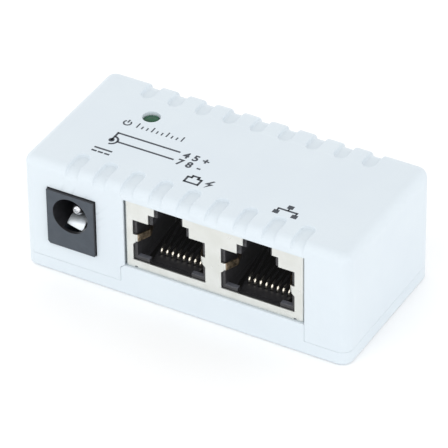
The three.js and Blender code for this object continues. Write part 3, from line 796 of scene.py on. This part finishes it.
def eased(points, radius, count=4):
    """A path with each inner corner turned into a short curve."""
    path = [points[0]]
    for before, corner, after in zip(points, points[1:], points[2:]):
        corner, before, after = Vector(corner), Vector(before), Vector(after)
        start = corner + (before - corner).normalized() * radius
        end = corner + (after - corner).normalized() * radius
        for i in range(count + 1):
            t = i / count
            path.append(tuple(start * (1 - t) ** 2 + corner * 2 * t * (1 - t) + end * t * t))
    return [*path, points[-1]]


def finger_outline(x, side):
    """A grounding finger in plan: inwards and back from its tab, then out again."""
    path = eased([
        (FINGER_ROOT + 0.4, SHIELD_FRONT + SHIELD_SHEET / 2),
        (FINGER_ROOT, SHIELD_FRONT + SHIELD_SHEET),
        (FINGER_PEAK, FINGER_PEAK_DEPTH),
        (FINGER_TAIL, FINGER_TAIL_DEPTH),
    ], 0.2)
    return strip_outline([(x + side * u, behind(depth)) for u, depth in path], FINGER_SHEET)


def folded_plan(inset):
    """The shield's bent line in plan, moved inwards from its outside."""
    front, back, bend = behind(SHIELD_FRONT), behind(SHIELD_BACK), SHIELD_BEND
    return [
        (SHIELD_LEFT + inset, back),
        *arc(SHIELD_LEFT + bend, front + bend, bend - inset, 180, 270, 6),
        *arc(SHIELD_RIGHT - bend, front + bend, bend - inset, 270, 360, 6),
        (SHIELD_RIGHT - inset, back),
    ]


def make_shield_front():
    """The sheet round the socket block's front, top and sides, folded with round bends."""
    sheet = SHIELD_SHEET
    walls = folded_plan(0) + folded_plan(sheet)[::-1]
    shield = prism("shield_front_sheet", [walls], upright, SHIELD_BOTTOM, SHIELD_TOP)
    roof = prism("roof", [folded_plan(0)], upright, SHIELD_TOP - sheet, SHIELD_TOP)
    tabs = [
        prism("tab", [rectangle(x, x + sheet, behind(d), behind(d + SHIELD_TAB_WIDTH))],
              upright, PIN_END, SHIELD_BOTTOM + 1)
        for x in (SHIELD_LEFT, SHIELD_RIGHT - sheet) for d in SHIELD_TAB_DEPTHS
    ]
    combine(shield, "UNION", roof, *tabs)
    holes = [cutout_outline(x) for x in PORTS.values()]
    holes += [
        centred(x, NOTCH_HALF, SHIELD_BOTTOM - 1, SHIELD_BOTTOM + NOTCH_HEIGHT) for x in SHIELD_NOTCHES
    ]
    combine(shield, "DIFFERENCE", *[
        prism("hole", [hole], frontal, SHIELD_FRONT - 1, SHIELD_FRONT + 2 * sheet) for hole in holes
    ])
    combine(shield, "UNION", *[
        prism("finger", [finger_outline(x, side)], upright, FINGER_BOTTOM, FINGER_TOP)
        for x in PORTS.values() for side in (-1, 1)
    ])
    soften(shield, 0.04, angle=35)
    finish_piece(shield, "shield_metal", "case", "port_shield_front")
    # painted reflection: the fingers get a darker, blotched bronze finish
    FINISHES["finger_metal"].put_on_faces(shield, is_in_finger)


def is_in_finger(point):
    """Whether a point lies on a grounding finger, behind the sheet's front face."""
    inward = min(abs(abs(point.x - x) - FINGER_PEAK) for x in PORTS.values())
    high = FINGER_BOTTOM - 0.1 < point.z < FINGER_TOP + 0.1
    deep = behind(SHIELD_FRONT + 0.15) < point.y < behind(FINGER_TAIL_DEPTH + 0.2)
    return high and deep and inward < CUT_HALF - TAB_REACH + 0.05 - FINGER_PEAK


def make_housing():
    """The black moulding with its two stepped cavities and the ledges in their corners."""
    gap = SHIELD_SHEET + HOUSING_GAP
    block = rectangle(SHIELD_LEFT + gap, SHIELD_RIGHT - gap, HOUSING_BOTTOM, HOUSING_TOP)
    housing = prism("socket_housing", [block], frontal, HOUSING_FRONT, HOUSING_BACK)
    pocket = CARRIER_HALF + CARRIER_FIT
    front, back = HOUSING_FRONT - 1, HOUSING_BACK + 1
    for x in PORTS.values():
        cavity = stepped(
            x, CAVITY_HALF, CAVITY_STEP_HALF, CAVITY_TOP_HALF,
            CAVITY_BOTTOM, CAVITY_SHOULDER, CAVITY_STEP, CAVITY_TOP,
        )
        lip = centred(x, LEDGE_INNER, CARRIER_TOP, CAVITY_BOTTOM + 1)
        low = centred(x, pocket, HOUSING_BOTTOM - 1, CAVITY_BOTTOM + 0.5)
        high = centred(x, pocket, CAVITY_BOTTOM, CARRIER_BLOCK_TOP + CARRIER_FIT)
        combine(
            housing, "DIFFERENCE",
            prism("cavity", [cavity], frontal, front, CAVITY_BACK),
            prism("lip", [lip], frontal, front, CARRIER_FRONT),
            prism("pocket", [low], frontal, CARRIER_FRONT - CARRIER_FIT, back),
            prism("block", [high], frontal, CAVITY_BACK - 0.5, back),
        )
        for side in (-1, 1):
            ends = sorted((x + side * LEDGE_INNER, x + side * (CAVITY_HALF + 0.2)))
            ledge = rectangle(*ends, HOUSING_BOTTOM + 0.5, LEDGE_TOP)
            combine(housing, "UNION", prism("ledge", [ledge], frontal, HOUSING_FRONT, LEDGE_BACK))
    centre = sum(PORTS.values()) / 2
    combine(housing, "UNION", *[
        prism("peg", [circle(centre, behind(depth), HOUSING_PEG_RADIUS, 32)], upright,
              BOARD_BOTTOM + 0.2, HOUSING_BOTTOM + 1)
        for depth in HOUSING_PEG_DEPTHS
    ])
    soften(housing, 0.09, angle=50)
    finish_piece(housing, "socket_plastic", "case", "port_housing")
    # painted sheen: the ledge tops get a lighter grey copy of the nylon
    FINISHES["ledge_painted_sheen_nylon"].put_on_faces(housing, is_on_ledge)


def is_on_ledge(point):
    """Whether a point lies on the top of a ledge."""
    return abs(point.z - LEDGE_TOP) < 0.01 and point.y < behind(LEDGE_BACK)


# ---- contacts and jack


def swept(name, path, radius, sides=10):
    """A round bar along points in millimetres, with closed ends."""
    rings = []
    across = Vector((1, 0, 0))
    for i, point in enumerate(path):
        third = heading(path, i).cross(across)
        rings.append([
            Vector(point) + radius * (cos(a) * across + sin(a) * third)
            for a in (2 * pi * k / sides for k in range(sides))
        ])
    return skinned(name, rings)


def wire_path(x, number):
    """A contact wire: up through the board, forwards, round the front bend and up to the back."""
    depth = WIRE_ROWS[number % 2]
    corner = arc(depth - WIRE_CORNER, WIRE_FLOOR_Z - WIRE_CORNER, WIRE_CORNER, 0, 90, 6)
    bend = arc(BEND_DEPTH, BEND_Z, BEND_RADIUS, 270, 90 + ARM_RISE, 12)
    rise = radians(ARM_RISE)
    arm = [
        (bend[-1][0] + ARM_LENGTH * t * cos(rise), bend[-1][1] + ARM_LENGTH * t * sin(rise))
        for t in (0.25, 0.5, 0.75, 0.97)
    ]
    last = (arm[-1][0] + WIRE_END[0], arm[-1][1] + WIRE_END[1])
    route = [(depth, PIN_END), *corner, *bend, *arm, last]
    return [(x, behind(d), z) for d, z in route]


def make_wires():
    for port, port_x in PORTS.items():
        for number in range(1, WIRE_COUNT + 1):
            x = port_x + in_row(number - 1, WIRE_COUNT, WIRE_PITCH)
            wire = swept(f"{port}_wire_{number}", wire_path(x, number), WIRE_RADIUS)
            smooth(wire)
            FINISHES["contact_gold"].put_on(wire)
            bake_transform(wire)
            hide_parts(f"{port}_board_pin_{number}", f"{port}_spring_arm_{number}")


def make_jack_body():
    """The power socket's moulding, with its bore and nose sides painted darker as shade, and rooms for its
    metal parts.
    """
    left, right = JACK_X - NOSE_HALF, JACK_X + NOSE_HALF
    nose = [
        (left + NOSE_CHAMFER, NOSE_BOTTOM), (right, NOSE_BOTTOM), (right, NOSE_TOP),
        (left, NOSE_TOP), (left, NOSE_BOTTOM + NOSE_CHAMFER),
    ]
    jack = prism("jack_moulding", [nose], frontal, -NOSE_PROUD, JACK_BODY_FRONT + 0.5)
    body = centred(JACK_X, JACK_BODY_HALF, JACK_BODY_BOTTOM, JACK_BODY_TOP)
    combine(jack, "UNION", prism("body", [body], frontal, JACK_BODY_FRONT, JACK_BODY_BACK))
    under, back = JACK_BODY_BOTTOM - 1, JACK_BODY_BACK + 1
    leaf_slot = centred(JACK_X, LEAF_HALF + JACK_SLOT_FIT, JACK_SLOT_BOTTOM, JACK_Z - 2)
    sleeve_slot = centred(JACK_X, SLEEVE_HALF + SLEEVE_FIT, under, SLEEVE_TOP + 0.3)
    rear_room = centred(JACK_X, JACK_REAR_HALF, under, JACK_REAR_TOP)
    switch_slot = rectangle(
        SWITCH_X - SWITCH_FIT, SWITCH_X + SWITCH_SHEET + SWITCH_FIT, under, SWITCH_TOP + 0.5
    )
    combine(
        jack, "DIFFERENCE",
        prism("bore", [circle(JACK_X, JACK_Z, BORE_RADIUS, 96)], frontal, -2, BORE_BACK),
        prism("pin_hole", [circle(JACK_X, JACK_Z, PIN_HOLE_RADIUS, 32)], frontal, 5, back),
        prism("leaf_slot", [leaf_slot], frontal, JACK_SLOT_FRONT, SLEEVE_DEPTH),
        prism("sleeve_slot", [sleeve_slot], frontal,
              SLEEVE_DEPTH - SLEEVE_FIT, SLEEVE_DEPTH + SLEEVE_SHEET + SLEEVE_FIT),
        prism("rear_room", [rear_room], frontal, JACK_REAR_FRONT, back),
        prism("switch_slot", [switch_slot], frontal, SWITCH_NEAR - SWITCH_FIT, SWITCH_FAR + SWITCH_FIT),
    )
    soften(jack, 0.07, angle=35)
    finish_piece(jack, "jack_plastic", "case", "power_jack_body")
    # painted shade: the bore and the nose's side walls get a darker copy of the plastic
    FINISHES["bore_painted_shade_plastic"].put_on_faces(jack, is_in_bore)


def is_in_bore(point):
    """Whether a point of the power socket's body lies in its bore, or behind its face."""
    from_axis = hypot(point.x - JACK_X, point.z - JACK_Z)
    depth = point.y - behind(0)
    return depth > -NOSE_PROUD + 0.05 and (from_axis < BORE_RADIUS + 0.01 or depth < JACK_BODY_FRONT)


def make_centre_pin():
    """The domed pin with a small hollow in its tip, riveted to a flat blade."""
    hollow = [(radius, PIN_TIP + depth) for radius, depth in PIN_HOLLOW]
    dome = [(r, PIN_TIP + PIN_RADIUS + h) for r, h in arc(0, 0, PIN_RADIUS, -70, -6, 10)]
    back = PIN_BACK + 0.1
    profile = [*hollow, *dome, (PIN_RADIUS, back), (0, back)]
    pin = lathed("jack_pin", profile, (JACK_X, JACK_Z), frontal)
    left, right, top = JACK_X - PIN_BLADE_HALF, JACK_X + PIN_BLADE_HALF, JACK_Z + PIN_BLADE_HALF
    blade = eased([(left, PIN_END), (left, top), (right, top), (right, PIN_END)], 0.8)
    combine(pin, "UNION", prism("blade", [blade], frontal, PIN_BACK, PIN_BACK + PIN_BLADE))
    soften(pin, 0.05, angle=40)
    finish_piece(pin, "plated_metal", "case", "power_jack_centre_pin")


def leaf_path(nose):
    """The leaf's middle line in depth and z: round its crown from its nose, then down to its tail."""
    depth, z = LEAF_CROWN
    crown = arc(depth, z - LEAF_CROWN_RADIUS, LEAF_CROWN_RADIUS, nose, 78, 16)
    return [*crown, *[tuple(Vector(crown[-1]).lerp(Vector(LEAF_HINGE), i / 6)) for i in range(1, 7)]]


def make_leaf():
    """The sprung leaf: a crowned strip, cut off a little aslant at its nose."""
    shares = [2 * k / LEAF_LANES - 1 for k in range(LEAF_LANES + 1)]
    lanes = [leaf_path(LEAF_NOSE + LEAF_SLANT * share) for share in shares]
    rows = []
    for i in range(len(lanes[0])):
        top, under = [], []
        for share, path in zip(shares, lanes):
            along = heading(path, i)
            for side, line in ((1, top), (-1, under)):
                lift = side * LEAF_SHEET / 2 - LEAF_BOW * share * share
                depth, z = path[i][0] - along.y * lift, path[i][1] + along.x * lift
                line.append((JACK_X + LEAF_HALF * share, behind(depth), z))
        rows.append(top + under[::-1])
    leaf = skinned("jack_leaf", rows)
    soften(leaf, 0.05, angle=50)
    finish_piece(leaf, "plated_metal", "power_jack_leaf", "power_jack_leaf_spring", "leaf_metal")


def make_led():
    """A small LED: a lens with a shallow crown and a flange at its foot."""
    rise = (LED_TOP - LED_SHOULDER) / LED_RADIUS
    crown = [(r, LED_SHOULDER + h * rise) for r, h in arc(0, 0, LED_RADIUS, 0, 84, 14)]
    profile = [
        (0, LED_BOTTOM), (LED_FLANGE_RADIUS, LED_BOTTOM), (LED_FLANGE_RADIUS, LED_FLANGE_TOP),
        (LED_RADIUS, LED_FLANGE_TOP), *crown, (0, LED_TOP),
    ]
    lens = lathed("led_lens", profile, (LED_X, LED_Y), upright)
    soften(lens, 0.05, angle=50)
    finish_piece(lens, "led_epoxy", "case", "status_led_lens")


# ---- legend

INK_TOP, LINE = 0.012, 0.37  # the print's thickness above the roof, and the width of its lines
THIN_LINE, TICK_LINE = 0.28, 0.24
DIGIT_HEIGHT, DIGIT_WEIGHT = 1.45, 0.075
DIGIT_SHARE = 0.7  # a digit's height, as a share of its type's size
DIGIT_ROWS = {
    11.3: (("4", 22.5), ("5", 24.2), ("+", 25.9)),
    9.3: (("7", 22.4), ("8", 24.1), ("-", 26.1)),
}


def from_corner(x, y):
    """A place on the roof, given from its front left corner, in the part's own x and y."""
    return (x - CASE_LENGTH / 2, y - CASE_DEPTH / 2)


def stroke(points, width=LINE):
    """A line through points that are given from the roof's corner, with flat ends."""
    return strip_outline([from_corner(*p) for p in points], width)


def digits(text, x, y):
    """Outlines of digits as a mesh, with their left foot at a place from the roof's corner."""
    curve = bpy.data.curves.new("digits", "FONT")
    curve.body = text
    curve.size = DIGIT_HEIGHT / DIGIT_SHARE * MM
    curve.extrude = INK_TOP * MM
    curve.offset = DIGIT_WEIGHT * MM
    obj = add_object("digits", curve)
    obj.location = Vector((*from_corner(x, y), CASE_HEIGHT)) * MM
    bpy.context.view_layer.update()
    mesh = evaluated(obj)
    mesh.transform(obj.matrix_world)
    bpy.data.objects.remove(obj)
    return mesh


def pen(x, y, *points):
    """Straight strokes between points that are given from (x, y), each with square ends."""
    marks = []
    for start, end in zip(points, points[1:]):
        start, end = Vector(start), Vector(end)
        over = (end - start).normalized() * LINE / 2
        ends = (start - over, end + over)
        marks.append(stroke([(x + p.x, y + p.y) for p in ends]))
    return marks


def patch(x, y, points):
    """A filled shape whose points are given from (x, y)."""
    return [from_corner(x + u, y + v) for u, v in points]


def pin_diagram():
    """Two conductors that leave a centre contact, one from the contact and one from its ring."""
    return [
        *pen(10.45, 12.3, (11.1, 0), (0, 0), (0, -2.1)),
        *pen(11.67, 10.1, (0, 0), (9.9, 0)),
        stroke(arc(10.45, 10.15, 1.05, -88, 88, 18)),
        patch(10.45, 10.15, circle(0, 0, 0.5, 20)),
    ]


def power_mark():
    """The usual broken circle with a bar, and a row of ticks beside it."""
    ring = arc(10.3, 15.4, 0.62, 128, 412, 24)
    marks = [stroke(ring, THIN_LINE), stroke([(10.3, 15.5), (10.3, 16.3)], THIN_LINE)]
    for number in range(10):
        tall = 1.3 if number % 3 == 0 else 0.75
        x = 12.2 + 0.9 * number
        marks.append(stroke([(x, 14.9), (x, 14.9 + tall)], TICK_LINE))
    return marks


def direct_current_mark():
    """A full line over a broken one."""
    dashes = [mark for i in range(3) for mark in pen(9.2 + 1.15 * i, 6.4, (0, 0), (0.55, 0))]
    return [*pen(9.2, 7.3, (0, 0), (2.85, 0)), *dashes]


def powered_port_mark():
    """A socket's outline and a spark."""
    socket = [
        (0, 0), (2.4, 0), (2.4, 1.35), (1.75, 1.35), (1.75, 1.85), (0.65, 1.85), (0.65, 1.35),
        (0, 1.35), (0, 0),
    ]
    spark = [(1.0, 2.1), (0, 0.9), (0.7, 0.9), (0.3, -0.1), (1.45, 1.2), (0.75, 1.2), (1.35, 2.1)]
    return [*pen(26.0, 5.9, *socket), patch(29.2, 5.85, spark)]


def data_port_mark():
    """Three linked boxes, one above two."""
    box = rectangle(-0.5, 0.5, -0.45, 0.45)
    links = [(44.0, 6.5, 7.2), (42.4, 6.0, 6.7), (45.6, 6.0, 6.7)]
    return [
        *[patch(x, y, box) for x, y in ((44.0, 7.55), (42.4, 5.65), (45.6, 5.65))],
        *pen(42.4, 6.6, (0, 0), (3.2, 0)),
        *[stroke([(x, low), (x, high)], THIN_LINE) for x, low, high in links],
    ]


def make_legend():
    bm = bmesh.new()
    marks = [
        *pin_diagram(), *power_mark(), *direct_current_mark(), *powered_port_mark(), *data_port_mark(),
    ]
    for outline in marks:
        piece = prism("mark", [outline], upright, CASE_HEIGHT - 0.05, CASE_HEIGHT + INK_TOP)
        bm.from_mesh(piece.data)
        bpy.data.objects.remove(piece)
    for y, row in DIGIT_ROWS.items():
        for text, x in row:
            bm.from_mesh(digits(text, x, y))
    mesh = bpy.data.meshes.new("roof_legend")
    bm.to_mesh(mesh)
    bm.free()
    legend = add_object("roof_legend", mesh)
    FINISHES["print_ink"].put_on(legend)
    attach(legend, "case")


# ---- CAD nodes that keep their shape

CARRIED = {
    "board_laminate": ["circuit_board"],
    "shield_metal": ["port_shield_rear"],
    "socket_plastic": ["powered_port_contact_carrier", "data_port_contact_carrier"],
    "plated_metal": [
        "power_jack_sleeve_terminal", "power_jack_switch_terminal",
        "status_led_anode_lead", "status_led_cathode_lead",
    ],
    "resistor_body": ["status_led_resistor"],
}


def dress_carried_nodes():
    for slot, names in CARRIED.items():
        for name in names:
            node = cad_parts[name]
            FINISHES[slot].put_on(node)
            round_edges(node, 0.05, 50)


# ---- camera, floor and light

CAMERA_AZIMUTH, CAMERA_ELEVATION, CAMERA_ROLL = 29.703, 36.176, -0.772  # degrees
CAMERA_DISTANCE, CAMERA_TARGET = 628.747, (-0.497, 0.0, 8.426)  # millimetres
CAMERA_LENS = 319.265  # millimetres, like the sensor
SENSOR_WIDTH = 36
HORIZON_LIGHT, ZENITH_LIGHT = 1.66, 0.7
FLOOR_HALF, FLOOR_GAP, FLOOR_GLOW = 2000, 0.05, 0.05
# Each light's place in metres, its width and its power.
LIGHTS = {"key": ((-0.12, -0.34, 0.52), 0.3, 0.43), "fill": ((0.5, -0.3, 0.3), 0.4, 0.2)}


def make_camera():
    data = bpy.data.cameras.new("camera")
    data.lens = CAMERA_LENS
    data.sensor_width = SENSOR_WIDTH
    data.clip_start, data.clip_end = 0.01, 10
    camera = add_object("camera", data)
    turns = ((CAMERA_AZIMUTH, "Z"), (90 - CAMERA_ELEVATION, "X"), (CAMERA_ROLL, "Z"))
    matrix = Matrix.Translation(Vector(CAMERA_TARGET) * MM)
    for angle, axis in turns:
        matrix = matrix @ Matrix.Rotation(radians(angle), 4, axis)
    camera.matrix_world = matrix @ Matrix.Translation((0, 0, CAMERA_DISTANCE * MM))
    bpy.context.scene.camera = camera


def make_light(name, place, size, power):
    """A square area light that faces the object."""
    data = bpy.data.lights.new(name, "AREA")
    data.size = size
    data.energy = power
    light = add_object(name, data)
    light.location = place
    light.rotation_mode = "QUATERNION"
    light.rotation_quaternion = (-Vector(place)).to_track_quat("-Z", "Y")


def make_world():
    """Plain white light all round, brightest at the horizon."""
    world = bpy.data.worlds.new("studio")
    world.use_nodes = True
    nodes, links = world.node_tree.nodes, world.node_tree.links
    background = nodes["Background"]
    set_inputs(background, {"Color": (1, 1, 1, 1)})
    height = nodes.new("ShaderNodeSeparateXYZ")
    strength = nodes.new("ShaderNodeMapRange")
    set_inputs(strength, {"To Min": HORIZON_LIGHT, "To Max": ZENITH_LIGHT})
    links.new(nodes.new("ShaderNodeTexCoord").outputs["Generated"], height.inputs["Vector"])
    links.new(height.outputs["Z"], strength.inputs["Value"])
    links.new(strength.outputs["Result"], background.inputs["Strength"])
    bpy.context.scene.world = world
    bpy.context.scene.view_settings.view_transform = "Standard"


def make_floor():
    corners = centred(0, FLOOR_HALF, -FLOOR_HALF, FLOOR_HALF)
    floor = mesh_object("floor", [(*p, -FLOOR_GAP) for p in corners], [(0, 1, 2, 3)])
    finish = Finish("floor_paper", (0.97, 0.97, 0.97), 0.9)
    finish.vary_colour((0.95, 0.95, 0.95), 60.0, 2.0)
    finish.glow(FLOOR_GLOW)
    finish.put_on(floor)


# ---- assembly

make_camera()
make_world()
make_floor()
for name, settings in LIGHTS.items():
    make_light(name, *settings)
make_top_cover()
make_base()
make_shield_front()
make_housing()
make_wires()
make_jack_body()
make_centre_pin()
make_leaf()
make_led()
make_legend()
dress_carried_nodes()
